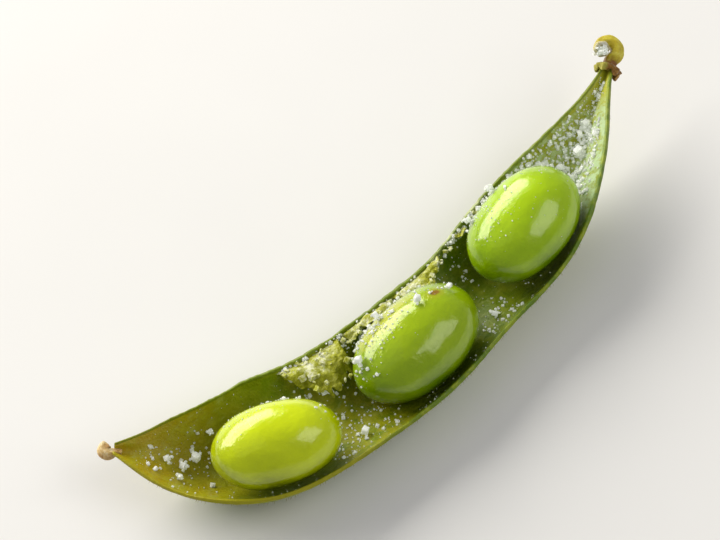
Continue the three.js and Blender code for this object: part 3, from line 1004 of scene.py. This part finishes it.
def build_grains(material):
    """A cluster of crystals for each coarse grain of the CAD model, let down onto what it lies on."""
    rng = random.Random(7)
    for name in sorted(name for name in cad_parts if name.startswith("salt_on_")):
        low, high = (np.array(corner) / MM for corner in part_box(name))
        centre = (low + high) / 2 - (0, 0, GRAIN_DROP)
        radius = (high - low).max() / 2
        parts = [crystal(rng, centre, radius)]
        for _ in range(rng.randint(3, 6)):
            aside = np.array([rng.uniform(-1, 1), rng.uniform(-1, 1), rng.uniform(-0.8, 0.1)]) * radius
            parts.append(crystal(rng, centre + aside, radius * rng.uniform(0.25, 0.55)))
        points, faces = join_parts(parts)
        add_piece(name + "_crystals", points, faces, material, [name], faceted=True)


HOOK_SALT = 46  # crystals caught in the stalk's hook
# How far a crystal's middle is above the valve or a bean, as a share of its radius.
VALVE_SALT_LIFT = 0.45
BEAN_SALT_LIFT = 0.4
# Where salt lies on the valve: (from, to) along, (from, to) across, count, and (least, most) radius.
VALVE_SALT = [
    ((58, 64), (-0.3, 1.0), 300, (0.16, 0.5)),
    ((60, 70), (-0.8, 0.95), 560, (0.12, 0.36)),
    ((68, 75), (-0.6, 0.9), 140, (0.08, 0.26)),
    ((47, 58), (0.9, 1.02), 70, (0.1, 0.36)),
    ((22, 37), (0.7, 1.02), 200, (0.08, 0.34)),
    ((37, 46), (0.8, 1.02), 60, (0.08, 0.28)),
    ((22, 30), (-0.75, 0.8), 200, (0.08, 0.3)),
    ((3, 10), (-0.55, 0.7), 60, (0.08, 0.34)),
    ((43, 48), (-0.8, 0.7), 80, (0.08, 0.26)),
    ((2, 74), (-0.98, 0.98), 520, (0.05, 0.13)),
]
# Where salt lies on the beans: direction, spread, count and (least, most) radius.
BEAN_SALT = [
    ("bean_middle", (-0.35, 0.8, 0.5), 0.4, 90, (0.06, 0.3)),
    ("bean_middle", (-0.35, 0.5, 0.8), 0.45, 150, (0.04, 0.16)),
    ("bean_middle", (0.45, 0.55, 0.7), 0.4, 40, (0.05, 0.24)),
    ("bean_middle", (-0.85, 0.1, 0.5), 0.35, 30, (0.05, 0.26)),
    ("bean_near_stalk", (-0.2, 0.95, 0.3), 0.4, 70, (0.06, 0.3)),
    ("bean_near_stalk", (-0.35, 0.45, 0.85), 0.45, 120, (0.03, 0.11)),
    ("bean_near_stalk", (0.3, -0.2, 0.9), 0.6, 40, (0.03, 0.09)),
    ("bean_near_stalk", (0.85, 0.3, 0.45), 0.3, 16, (0.05, 0.2)),
    ("bean_near_tip", (0.2, 0.95, 0.3), 0.4, 34, (0.05, 0.24)),
    ("bean_near_tip", (-0.3, 0.6, 0.75), 0.45, 90, (0.03, 0.11)),
    ("bean_near_tip", (0.9, 0.1, 0.45), 0.3, 12, (0.05, 0.2)),
]


def salt_radius(rng, least, most):
    """Mostly near the least radius, and now and then near the most."""
    return least + (most - least) * rng.random() ** 3


def salt_in_hook(rng):
    """Crystals about the stalk's cut end."""
    line = stalk_line()
    caught = UP_WAY * 0.2 - NECK_WAY * 0.22
    parts = []
    for _ in range(HOOK_SALT):
        centre = line[-1 - rng.randint(0, 8)] + [rng.gauss(0, 0.28) for _ in range(3)] + caught
        parts.append(salt_box(rng, centre, rng.uniform(0.12, 0.32)))
    return parts


def salt_on_valve(rng):
    """Crystals half sunk in the valve's inner face, region by region."""
    parts = []
    for (start, end), (low, high), count, (least, most) in VALVE_SALT:
        for _ in range(count):
            s = rng.uniform(start, end)
            across = rng.uniform(low, high)
            radius = salt_radius(rng, least, most)
            x, z = valve_inner(s, across, TORN_WALL)
            nx, nz = skin_normal(s, across)
            lift = VALVE_SALT_LIFT * radius
            parts.append(salt_box(rng, pod_point(s, x + nx * lift, z + nz * lift), radius))
    return parts


def salt_on_beans(rng):
    """Crystals on the beans, scattered round each direction."""
    parts = []
    for name, towards, spread, count, (least, most) in BEAN_SALT:
        matrix, middle = bean_frame(BEANS[name])
        size = BEANS[name]["size"]
        for _ in range(count):
            direction = unit(unit(towards) + np.array([rng.gauss(0, spread * 0.6) for _ in range(3)]))
            radius = salt_radius(rng, least, most)
            out = unit(direction / size)
            local = bean_point(size, *direction) + out * BEAN_SALT_LIFT * radius
            parts.append(salt_box(rng, matrix @ local + middle, radius))
    return parts


def build_fine_salt(material):
    """The salt that is too small for the CAD model: a piece on the valve and one on the beans."""
    rng = random.Random(19)
    points, faces = join_parts(salt_in_hook(rng) + salt_on_valve(rng))
    add_piece("fine_salt_on_valve", points, faces, material, faceted=True)
    points, faces = join_parts(salt_on_beans(rng))
    add_piece("fine_salt_on_beans", points, faces, material, faceted=True)


# ---- Hairs on the outer skin ----
HAIR_COUNT = 600
HAIR_LENGTHS = (0.25, 0.5)
HAIR_ROOT = 0.05  # how far outside the smooth skin a hair starts
HAIR_RADII = (0.028, 0.02)  # at its root and at its bend


def hair(root, outward, lean, length):
    """A bent hair: a thin three-sided cone."""
    bend = root + outward * length * 0.5 + lean * length * 0.15
    tip = root + outward * length * 0.75 + lean * length * 0.55
    side = unit(np.cross(outward, lean))
    other = np.cross(side, outward)
    points = []
    for centre, radius in zip((root, bend), HAIR_RADII):
        for k in range(3):
            turn = 2 * math.pi * k / 3
            points.append(centre + (side * math.cos(turn) + other * math.sin(turn)) * radius)
    points.append(tip)
    faces = [(2, 1, 0)]
    for k in range(3):
        after = (k + 1) % 3
        faces += [(k, after, 3 + after, 3 + k), (3 + k, 3 + after, 6)]
    return points, faces


def build_hairs(material):
    """Short hairs that lean towards the tip, densest by the seams, with none near the floor."""
    rng = random.Random(5)
    parts = []
    for _ in range(HAIR_COUNT):
        s = rng.uniform(3, SPINE_LENGTH - 2)
        near_seam = rng.random() < 0.5
        across = rng.choice((-1, 1)) * (rng.uniform(0.86, 0.98) if near_seam else rng.uniform(0, 0.98))
        x, z = valve_skin(s, across)
        if z < 0.9:
            continue
        nx, nz = skin_normal(s, across)
        root = pod_point(s, x - nx * HAIR_ROOT, z - nz * HAIR_ROOT)
        outward = unit(pod_point(s, x - nx, z - nz) - root)
        along = np.array([math.cos(heading(s)), math.sin(heading(s)), 0])
        lean = -along * rng.uniform(0.4, 1.2) + UP_WAY * rng.uniform(-0.3, 0.5)
        points, faces = hair(root, outward, lean, rng.uniform(*HAIR_LENGTHS))
        if points[-1][2] > 0.1:
            parts.append((points, faces))
    points, faces = join_parts(parts)
    add_piece("skin_hairs", points, faces, material)


# ---- The scene ----
add_camera()
add_surroundings()

build_valve(valve_material())
tissue = tissue_material()
build_torn_strips(tissue)
build_crumbs(tissue)
# Each bean's colours from its underside up: painted shade, its own green, then painted light.
build_bean("bean_near_tip", bean_material("bean_a", "748000", "bccc00", "d2e208"), 71)
# The middle bean's brown spot, and its side that is painted paler as if lit by the window.
middle_marks = dict(spot=(0.55, 0.21, 0.81), painted_lit_side=(-0.2, 0.75, 0.62))
build_bean("bean_middle", bean_material("bean_b", "466a00", "88a602", "a2bd0a", **middle_marks), 73)
build_bean("bean_near_stalk", bean_material("bean_c", "4c7000", "94b700", "b0d208"), 75)
build_stalk(stalk_material())
build_calyx(dried_material("sepals", "b98f3c", "8c621c", "5a3a12", 1.2))
build_style(dried_material("style", "f2e4bc", "d8b878", "a06e2c", 1.3))
salt = salt_material()
build_grains(salt)
build_fine_salt(salt)
build_hairs(hair_material())
